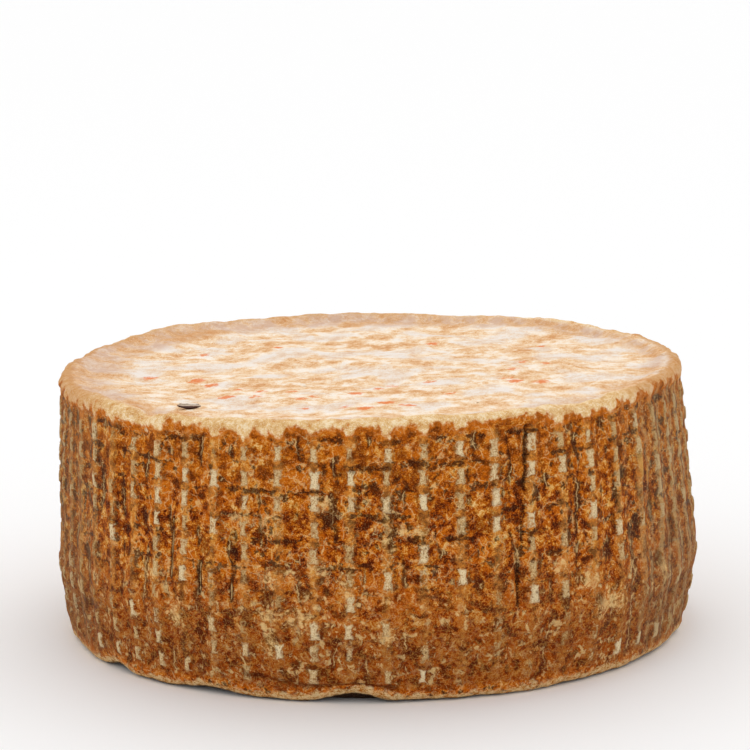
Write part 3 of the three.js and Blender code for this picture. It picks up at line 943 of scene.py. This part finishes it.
def natural_rind(colours):
    """Natural cheese rind: washed and brushed while it ripened in a net mould, then dried.

    The side is a mottled brown skin with fine light threads, moist near-black patches, dried cream crust
    and the paler, drier studs of the net. The lip and the top are bare paste with a dusty bloom. It is
    matt all over, and only the moist patches glisten."""
    # Besides its own colours, the rind has painted shade beside the studs, in the sunk creases, low on the
    # side, along the lowest edge and in the notches under the foot, and painted light and sheen on the flanks
    # and the raised creases.
    material, tree = new_material("natural_rind_brushed")
    tints = {name: tuple(getattr(colours, name)) for name in RindColours.__annotations__}

    # Coordinates in millimetres: plain, stretched upwards, flattened into level grain, and along the
    # gaps between the columns of the print.
    place = node(tree, "TexCoord", out=3)
    mm = {}
    for name, stretch in (("plain", 1), ("tall", 0.4), ("flat", 1.9)):
        scale = (1 / MM, 1 / MM, stretch / MM)
        mm[name] = node(tree, "VectorMath", (place, scale), operation="MULTIPLY")
    net = print_distances(tree)
    gap = node(tree, "Math", (net["gap"], FAR), operation="MULTIPLY")
    mm["gap"] = node(tree, "CombineXYZ", (gap, node(tree, "SeparateXYZ", (mm["plain"],), out=2)))

    # Grains: how they are stretched, their size in millimetres, detail, roughness and distortion.
    grains = {
        "speck": ("plain", 0.36, 1, 0.5, 0),
        "fibre": ("flat", 0.8, 3, 0.6, 0.6),
        "thread": ("plain", 1.7, 2, 0.6, 0.5),
        "groove": ("plain", 2.3, 2, 0.6, 0.5),
        "medium": ("plain", 1.7, 4, 0.65, 0),
        "tone": ("plain", 3.2, 4, 0.7, 0.3),
        "curd": ("plain", 2.2, 4, 0.66, 0.5),
        "patchy": ("plain", 4.4, 3, 0.6, 0),
        "sway": ("gap", 16.0, 5, 0.62, 0),
        "strip": ("tall", 5.5, 2, 0.5, 0),
        "bars": ("flat", 6.5, 3, 0.6, 0),
        "bloom": ("plain", 9.0, 4, 0.6, 0),
        "broad": ("plain", 17.0, 2, 0.5, 0),
    }
    grain = {}
    for name, (stretch, size, detail, roughness, distortion) in grains.items():
        inputs = {"Vector": mm[stretch], "Scale": 1 / size, "Detail": detail, "Roughness": roughness}
        grain[name] = node(tree, "TexNoise", {**inputs, "Distortion": distortion})
    # Two of them are folded at their middle, into crests that run like threads.
    for name, reach in (("thread", 0.2), ("groove", 0.24)):
        off = node(tree, "Math", (grain[name], 0.5), operation="SUBTRACT")
        off = node(tree, "Math", (off,), operation="ABSOLUTE")
        grain[name] = node(tree, "MapRange", (off, 0, reach, 1, 0))
    away = {
        name: node(tree, "Attribute", out=2, attribute_name=name)
        for name in (
            "band", "level", "seam", "crack", "stain", "dried", "fold", "crease", "flank", "bare", "under",
            "red", "pit", "ring", "stud",
        )
    }
    grain["draw"] = net["draws"][1]
    grain["strength"] = away["stud"]

    # Wandering distances: to the fine pale cracks that run up between two columns, to the web of the finest
    # ones, and to the lower edge of the bare band, which runs down over the studs.
    sway = blended(tree, grain, {"sway": 9.0, "medium": 1.4}, 0)
    river = node(tree, "Math", (sway, net["in gap"]), operation="ADD")
    river = node(tree, "Math", (river,), operation="ABSOLUTE")
    bent = node(tree, "TexNoise", {"Vector": mm["plain"], "Scale": 1 / CRACKLE["over"], "Detail": 2}, out=1)
    bent = node(tree, "VectorMath", (bent, (CRACKLE["bend"],) * 3, mm["plain"]), operation="MULTIPLY_ADD")
    inputs = {"Vector": bent, "Scale": 1 / CRACKLE["field"]}
    web = node(tree, "TexVoronoi", inputs, feature="DISTANCE_TO_EDGE")
    web = node(tree, "Math", (web, CRACKLE["field"]), operation="MULTIPLY")
    drip = node(tree, "MapRange", (net["beside across"], 2.4, 0.9), interpolation_type="SMOOTHSTEP")
    drip = node(tree, "Math", (drip, away["stud"]), operation="MULTIPLY")
    edge = blended(tree, grain, {"curd": 3.5, "patchy": 6.0, "broad": 7.0}, 3.8)
    edge = node(tree, "Math", (drip, 2.4, edge), operation="MULTIPLY_ADD")
    below = node(tree, "Math", (away["band"], edge), operation="SUBTRACT")
    worn = blended(tree, grain, {"medium": 2.2}, 0)
    worn = node(tree, "Math", (worn, away["stud"]), operation="ADD")

    masks = frayed(tree, grain, {
        "box": (net["stud"], "medium", 3.2, 0.3, -0.3),
        "box edge": (net["stud"], "medium", 1.5, -0.5, -0.1),
        "stud shadow": (net["stud shadow"], "medium", 5.0, 0.6, -0.5),
        "bar": (net["between up"], "medium", 6.0, 1.2, 0.3),
        "column": (net["beside across"], "medium", 6.0, 2.2, 0.8),
        "river": (river, "speck", 0.7, 0.3, 0.02),
        "web": (web, "speck", 0.9, 0.26, -0.04),
        "river bank": (river, "medium", 5.0, 1.7, 0.5),
        "stain": (away["stain"], "medium", 6.0, 0.6, -0.5),
        "seam": (away["seam"], "fibre", 1.6, 0.75, 0.2),
        "crack": (away["crack"], "fibre", 1.6, 1.0, 0.4),
        "crack core": (away["crack"], "speck", 0.3, 0.38, 0.12),
        "fold": (away["fold"], "medium", 2.4, 1.4, 0.2),
        "dried": (away["dried"], "curd", 16.0, 1.2, -1.6),
        "foot": (away["level"], "patchy", 8.0, 3.4, 2.0),
        # Painted contact shadow: darker over the lowest millimetre and under the base.
        "contact shade": (away["level"], "medium", 2.0, 0.9, 0.2),
        "band": (below, "medium", 2.6, 0.8, -0.8),
        "fringe": (below, "medium", 5.0, 3.6, 0.2),
        "inside": (away["band"], "patchy", 7.0, 0.4, -2.6),
        "red": (away["red"], "medium", 7.0, 0.8, -1.0),
        "pit": (away["pit"], "fibre", 0.8, 0.1, -0.3),
    })
    # Where a grain or a height is between two limits.
    limits = {
        "on print": (away["level"], 4.5, 7.0),
        "under lip": (away["level"], 81.0, 79.5),
        "low": (away["level"], 46.0, 20.0),
        "above foot": (away["level"], 3.0, 6.0),
        "near foot": (away["level"], 13.0, 6.0),
        "high": (away["level"], 55.0, 74.0),
        # Where painted shade darkens the side low down, under the belly.
        "tuck": (away["level"], 27.0, 18.0),
        "grainy": (grain["medium"], 0.4, 0.54),
        "shown": (worn, 0.42, 0.8),
        "drawn": (net["draws"][0], 0.3, 0.7),
        "curds": (grain["curd"], 0.53, 0.59),
        "few curds": (grain["curd"], 0.61, 0.67),
        "fine crests": (grain["thread"], 0.74, 1.0),
        "clusters": (grain["bloom"], 0.52, 0.57),
        # Painted shade in the sunk creases, and painted highlight on the raised ones.
        "sunk": (away["crease"], 0.25, 0.6),
        "raised": (away["crease"], -0.2, -0.5),
        "patches": (grain["patchy"], 0.44, 0.56),
        "pale patches": (grain["patchy"], 0.55, 0.63),
        "dark patches": (grain["patchy"], 0.46, 0.37),
        "wet": (grain["patchy"], 0.6, 0.67),
        "strips": (grain["strip"], 0.52, 0.57),
        "bars": (grain["bars"], 0.53, 0.6),
        "amber": (grain["bloom"], 0.48, 0.58),
        "bloom": (grain["bloom"], 0.46, 0.6),
        "haze": (grain["broad"], 0.48, 0.62),
        "bright speck": (grain["speck"], 0.57, 0.68),
        "dark speck": (grain["speck"], 0.4, 0.3),
    }
    for name, values in limits.items():
        masks[name] = node(tree, "MapRange", values, interpolation_type="SMOOTHSTEP")
    # These are shares already.
    for name in ("ring", "flank", "bare", "under"):
        masks[name] = away[name]
    combined(tree, masks, {
        "print": ("MULTIPLY", ("on print", "under lip")),
        "stud": ("MULTIPLY", ("box", "shown", "print")),
        "stud edge": ("MULTIPLY", ("box edge", "bright speck")),
        # Painted shadow to the right of each stud, on damp rind.
        "stud shadows": ("MULTIPLY", ("stud shadow", "drawn", "patches", "print")),
        "dark bars": ("MULTIPLY", ("bar", "bars", "print")),
        "banks": ("MULTIPLY", ("river bank", "strips", "print")),
        "rivers": ("MULTIPLY", ("river", "strips", "patches", "print")),
        "columns": ("MULTIPLY", ("column", "print")),
        # Damp rind, with the painted shadows beside the studs among it.
        "damp and shadow": ("MAXIMUM", ("stud shadows", "dark bars", "banks", "stain", "wet")),
        "low print": ("MULTIPLY", ("low", "above foot")),
        "low shade": ("MULTIPLY", ("tuck", "above foot")),
        "dried crust": ("MULTIPLY", ("dried", "grainy")),
        "low curds": ("MULTIPLY", ("curds", "low print")),
        "low darks": ("MULTIPLY", ("dark patches", "low print")),
        "low pales": ("MULTIPLY", ("pale patches", "low curds")),
        "clustered curds": ("MULTIPLY", ("low curds", "clusters")),
        "crust threads": ("MULTIPLY", ("fine crests", "low print")),
        # Painted highlight on the flanks' ribs and gaps, fullest on the right.
        "lit flank ribs": ("MULTIPLY", ("columns", "bare", "grainy")),
        "lit flank gaps": ("MULTIPLY", ("river bank", "bare", "grainy")),
        "flank studs": ("MULTIPLY", ("stud", "flank")),
        "flank band": ("MULTIPLY", ("band", "flank")),
        "low amber": ("MULTIPLY", ("amber", "low print")),
        "light threads": ("MULTIPLY", ("web", "patches")),
        "cut": ("MAXIMUM", ("seam", "crack")),
        "amber patches": ("MULTIPLY", ("amber", "patches")),
        "bloom patches": ("MULTIPLY", ("bloom", "patches")),
        "ring patches": ("MULTIPLY", ("ring", "patches")),
    })

    # Colours by grain: the shares of the grains, and the colour at each stop.
    ramps = {
        "skin": (
            {
                "tone": 1.3, "curd": 0.6, "thread": 0.1, "groove": -0.15, "fibre": 0.5, "speck": 0.5,
                "patchy": 0.25, "broad": 0.2,
            },
            ((0.26, "deep"), (0.38, "brown"), (0.5, "tan"), (0.61, "ochre"), (0.74, "straw"), (0.9, "crust")),
        ),
        "face": (
            {"strength": 0.7, "draw": 0.45, "speck": 1.0, "fibre": 0.5},
            ((0.3, "stud_dark"), (0.62, "stud"), (1.0, "stud_pale")),
        ),
        "paste": (
            {"medium": 0.6, "patchy": 0.7, "fibre": 0.25, "speck": 0.3},
            ((0.24, "fringe"), (0.36, "lip_dark"), (0.5, "lip"), (0.66, "lip_pale")),
        ),
        "foot": (
            {"medium": 0.9, "fibre": 0.5, "speck": 0.4},
            ((0.32, "tan"), (0.42, "foot_dark"), (0.56, "foot")),
        ),
        "dry": (
            {
                "patchy": 0.4, "medium": 0.4, "bloom": 0.5, "broad": 0.4, "tone": 0.2, "fibre": 0.3,
                "speck": 0.3,
            },
            ((0.31, "top_dark"), (0.41, "peach"), (0.51, "top"), (0.62, "bloom")),
        ),
    }
    shade = {}
    for name, (shares, stops) in ramps.items():
        stops = [(stop, tints[tint]) for stop, tint in stops]
        shade[name] = node(tree, "ValToRGB", (blended(tree, grain, shares),), stops=stops)

    # The coats over each, from the lowest up: where, how much of it, and its colour.
    coats = {
        "face": (("stud edge", 0.5, "stud_pale"), ("dark speck", 0.35, "tan")),
        "paste": (("bright speck", 0.35, "bloom"),),
        "dry": (
            ("bloom patches", 0.5, "bloom"),
            # Greyish lilac patches: partly bloom, partly painted shade.
            ("haze", 0.35, "lilac"),
            ("red", 0.92, "red"),
            ("pit", 0.85, "stain"),
            ("bright speck", 0.2, "bloom"),
            ("dark speck", 0.12, "ring"),
        ),
        "skin": (
            ("amber patches", 0.5, "glaze"),
            ("low amber", 0.5, "glaze"),
            ("near foot", 0.2, "glaze"),
            ("high", 0.2, "ochre"),
            ("columns", 0.3, "straw"),
            ("light threads", 0.6, "crust"),
            # Damp patches, and the painted shadows to the right of the studs.
            ("damp and shadow", 0.85, "stain"),
            ("low print", 0.5, "brown"),
            ("low darks", 0.6, "deep"),
            ("dark patches", 0.42, "deep"),
            ("few curds", 0.5, "crust"),
            ("clustered curds", 0.72, "crust"),
            ("low pales", 0.45, "crust"),
            ("crust threads", 0.4, "straw"),
            # Painted highlight on the flanks' ribs and gaps, fullest on the right.
            ("lit flank ribs", 0.62, "stud"),
            ("lit flank gaps", 0.6, "stud"),
            # Painted shade in the sunk creases, and painted highlight on the raised ones.
            ("sunk", 0.6, "stain"),
            ("raised", 0.65, "straw"),
            # Partly dust, partly painted sheen, greying the flanks.
            ("flank", 0.3, "dust"),
            # Painted shade low on the side, under the belly.
            ("low shade", 0.2, "deep"),
            ("dried", 0.25, "straw"),
            ("dried crust", 0.75, "crust"),
            ("rivers", 0.65, "crust"),
            ("stud", 0.9, "face"),
            # The studs darker on the flanks.
            ("flank studs", 0.6, "stud_dark"),
            ("cut", 0.85, "stain"),
            ("fold", 0.6, "deep"),
            ("crack core", 0.6, "crust"),
            ("foot", 0.8, "foot"),
            # Painted contact shadow along the lowest edge.
            ("contact shade", 0.8, "stain"),
            # Painted shade inside the notches where the foot lifts off the floor.
            ("under", 0.95, "stain"),
            ("fringe", 0.6, "fringe"),
            ("bright speck", 0.12, "crust"),
            ("dark speck", 0.2, "deep"),
            ("band", 1.0, "paste"),
            ("flank band", 0.6, "ring"),
            ("inside", 1.0, "dry"),
            ("ring", 0.3, "ring"),
            ("ring patches", 0.4, "ring"),
        ),
    }
    for name, layers in coats.items():
        for mask, share, over in layers:
            amount = node(tree, "Math", (masks[mask], share), operation="MULTIPLY")
            over = shade.get(over, tints.get(over))
            shade[name] = node(tree, "Mix", {0: amount, 6: shade[name], 7: over}, out=2, data_type="RGBA")

    # Relief too fine for the mesh, in millimetres.
    height = blended(tree, grain, {"medium": 0.5, "fibre": 0.3, "tone": 0.4, "thread": 0.1}, 0)
    rises = {"stud": 0.25, "damp and shadow": -0.25, "clustered curds": 0.12, "rivers": 0.12, "cut": -0.3}
    for mask, rise in rises.items():
        height = node(tree, "Math", (masks[mask], rise, height), operation="MULTIPLY_ADD")
    calm = node(tree, "MapRange", (masks["band"], 0, 1, 1, 0.5))
    height = node(tree, "Math", (height, calm), operation="MULTIPLY")
    bump = node(tree, "Bump", {"Height": height, "Strength": 0.9, "Distance": MM})
    shader = node(tree, "BsdfPrincipled", {
        "Base Color": shade["skin"],
        "Roughness": node(tree, "Math", (masks["damp and shadow"], -0.3, 0.75), operation="MULTIPLY_ADD"),
        "IOR": 1.45,
        "Specular IOR Level": 0.04,
        "Sheen Weight": 0.03,
        "Sheen Roughness": 0.5,
        "Sheen Tint": linear("#efe2cc"),
        "Normal": bump,
    })
    node(tree, "OutputMaterial", (shader,))
    return material


def dry_flake():
    """A dried flake of the same rind: leathery and brown where it lies, pale and dusty where it curls up,
    with painted shadow in its brown half and painted light in its pale half.
    """
    material, tree = new_material("natural_rind_flake_dried")
    mm = node(tree, "VectorMath", (node(tree, "TexCoord", out=3), (1 / MM,) * 3), operation="MULTIPLY")
    spot_size = 2.6
    grain = {"spots": node(tree, "TexNoise", {"Vector": mm, "Scale": 1 / spot_size, "Detail": 2})}
    across = node(tree, "Attribute", out=2, attribute_name="across")
    tone = node(tree, "Math", (across, 0.5, blended(tree, grain, {"spots": 0.5})), operation="MULTIPLY_ADD")
    # Across the flake: the dark outer half is brown skin with painted shadow under the lifted edge, and the
    # pale inner half is paste side with painted light.
    stops = [(0.15, "#3a1c0e"), (0.42, "#5c3420"), (0.54, "#dcc7b0"), (0.7, "#8f7763"), (0.8, "#ecdccb")]
    stops = [(at, linear(code)) for at, code in stops]
    skin = node(tree, "ValToRGB", (tone,), stops=stops)
    shader = node(tree, "BsdfPrincipled", {
        "Base Color": skin,
        "Roughness": 0.6,
        "IOR": 1.45,
        "Specular IOR Level": 0.1,
    })
    node(tree, "OutputMaterial", (shader,))
    return material


def matt_board(code):
    """Painted board, rolled matt: an even white surface with hardly any gloss."""
    material, tree = new_material("painted_board_matt")
    inputs = {"Base Color": code, "Roughness": 0.9, "IOR": 1.5, "Specular IOR Level": 0.1}
    node(tree, "OutputMaterial", (node(tree, "BsdfPrincipled", inputs),))
    return material


# ---------------------------------------------------------------------------------------------------
# Operators


class CHEESE_OT_make_rind(bpy.types.Operator):
    """Makes the wheel's rind, from its foot over the side and the lip to the top"""

    bl_idname = "cheese.make_rind"
    bl_label = "Make Rind"

    def execute(self, context):
        rind = make_rind(context.scene.wheel_sizes)
        rind.data.materials.append(natural_rind(context.scene.rind_colours))
        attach(rind, "root")
        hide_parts(NODE)
        return {"FINISHED"}


class CHEESE_OT_make_flake(bpy.types.Operator):
    """Makes the curled flake that lies on the top, once the rind is there"""

    bl_idname = "cheese.make_flake"
    bl_label = "Make Flake"

    def execute(self, context):
        rind = bpy.data.objects.get("cheese_rind")
        if rind is None:
            raise RuntimeError("the flake lies on the rind, which isn't made yet")
        flake = make_flake(context.scene.wheel_sizes, rind)
        flake.data.materials.append(dry_flake())
        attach(flake, "root")
        return {"FINISHED"}


class CHEESE_OT_make_stage(bpy.types.Operator):
    """Makes the floor, the soft lights and the camera"""

    bl_idname = "cheese.make_stage"
    bl_label = "Make Stage"

    def execute(self, context):
        settings = context.scene.cheese_stage
        scene = context.scene
        half = settings.floor_size / 2
        drop = -0.2 * MM  # a hair under the wheel, so that the two don't coincide
        mesh = bpy.data.meshes.new("floor")
        corners = [(-half, -half, drop), (half, -half, drop), (half, half, drop), (-half, half, drop)]
        mesh.from_pydata(corners, [], [(0, 1, 2, 3)])
        floor = bpy.data.objects.new("floor", mesh)
        mesh.materials.append(matt_board(tuple(settings.floor_colour)))
        scene.collection.objects.link(floor)

        world = bpy.data.worlds.new("white_room")
        world.use_nodes = True
        background = world.node_tree.nodes["Background"]
        background.inputs["Color"].default_value = (1, 1, 1, 1)
        background.inputs["Strength"].default_value = settings.ambient
        scene.world = world
        scene.view_settings.view_transform = "Standard"

        key = bpy.data.lights.new("key_light", "AREA")
        key.size = KEY_SIZE
        key.energy = settings.key_power
        back = bpy.data.lights.new("back_light", "SUN")
        back.angle = BACK_SPREAD
        back.energy = settings.back_strength
        for light, place in ((key, KEY_PLACE), (back, BACK_PLACE)):
            lamp = bpy.data.objects.new(light.name, light)
            lamp.location = place
            lamp.rotation_euler = (-lamp.location).to_track_quat("-Z", "Y").to_euler()
            lamp.visible_camera = False
            scene.collection.objects.link(lamp)

        camera = bpy.data.objects.new("camera", bpy.data.cameras.new("camera"))
        camera.data.lens = settings.lens
        camera.location = (-settings.camera_left, -settings.camera_distance, settings.camera_height)
        camera.rotation_euler = (math.pi / 2 - settings.camera_pitch, 0, -settings.camera_yaw)
        scene.collection.objects.link(camera)
        scene.camera = camera
        return {"FINISHED"}


class CHEESE_PT_wheel(bpy.types.Panel):
    """Lists what makes the wheel, and its sizes and colours"""

    bl_label = "Cheese Wheel"
    bl_idname = "CHEESE_PT_wheel"
    bl_space_type = "VIEW_3D"
    bl_region_type = "UI"
    bl_category = "Cheese"

    def draw(self, context):
        layout = self.layout
        for group in (context.scene.wheel_sizes, context.scene.rind_colours, context.scene.cheese_stage):
            box = layout.box()
            for name in type(group).__annotations__:
                box.prop(group, name)
        for operator in (CHEESE_OT_make_rind, CHEESE_OT_make_flake, CHEESE_OT_make_stage):
            layout.operator(operator.bl_idname)


CLASSES = (
    WheelSizes,
    RindColours,
    StageSettings,
    CHEESE_OT_make_rind,
    CHEESE_OT_make_flake,
    CHEESE_OT_make_stage,
    CHEESE_PT_wheel,
)


def register():
    """Registers the add-on's classes and its settings on the scene."""
    for kind in CLASSES:
        bpy.utils.register_class(kind)
    bpy.types.Scene.wheel_sizes = bpy.props.PointerProperty(type=WheelSizes)
    bpy.types.Scene.rind_colours = bpy.props.PointerProperty(type=RindColours)
    bpy.types.Scene.cheese_stage = bpy.props.PointerProperty(type=StageSettings)


def unregister():
    """Takes away what register added."""
    del bpy.types.Scene.cheese_stage
    del bpy.types.Scene.rind_colours
    del bpy.types.Scene.wheel_sizes
    for kind in reversed(CLASSES):
        bpy.utils.unregister_class(kind)


def main():
    """Makes everything."""
    register()
    bpy.ops.cheese.make_rind()
    bpy.ops.cheese.make_flake()
    bpy.ops.cheese.make_stage()


if __name__ == "__main__":
    main()
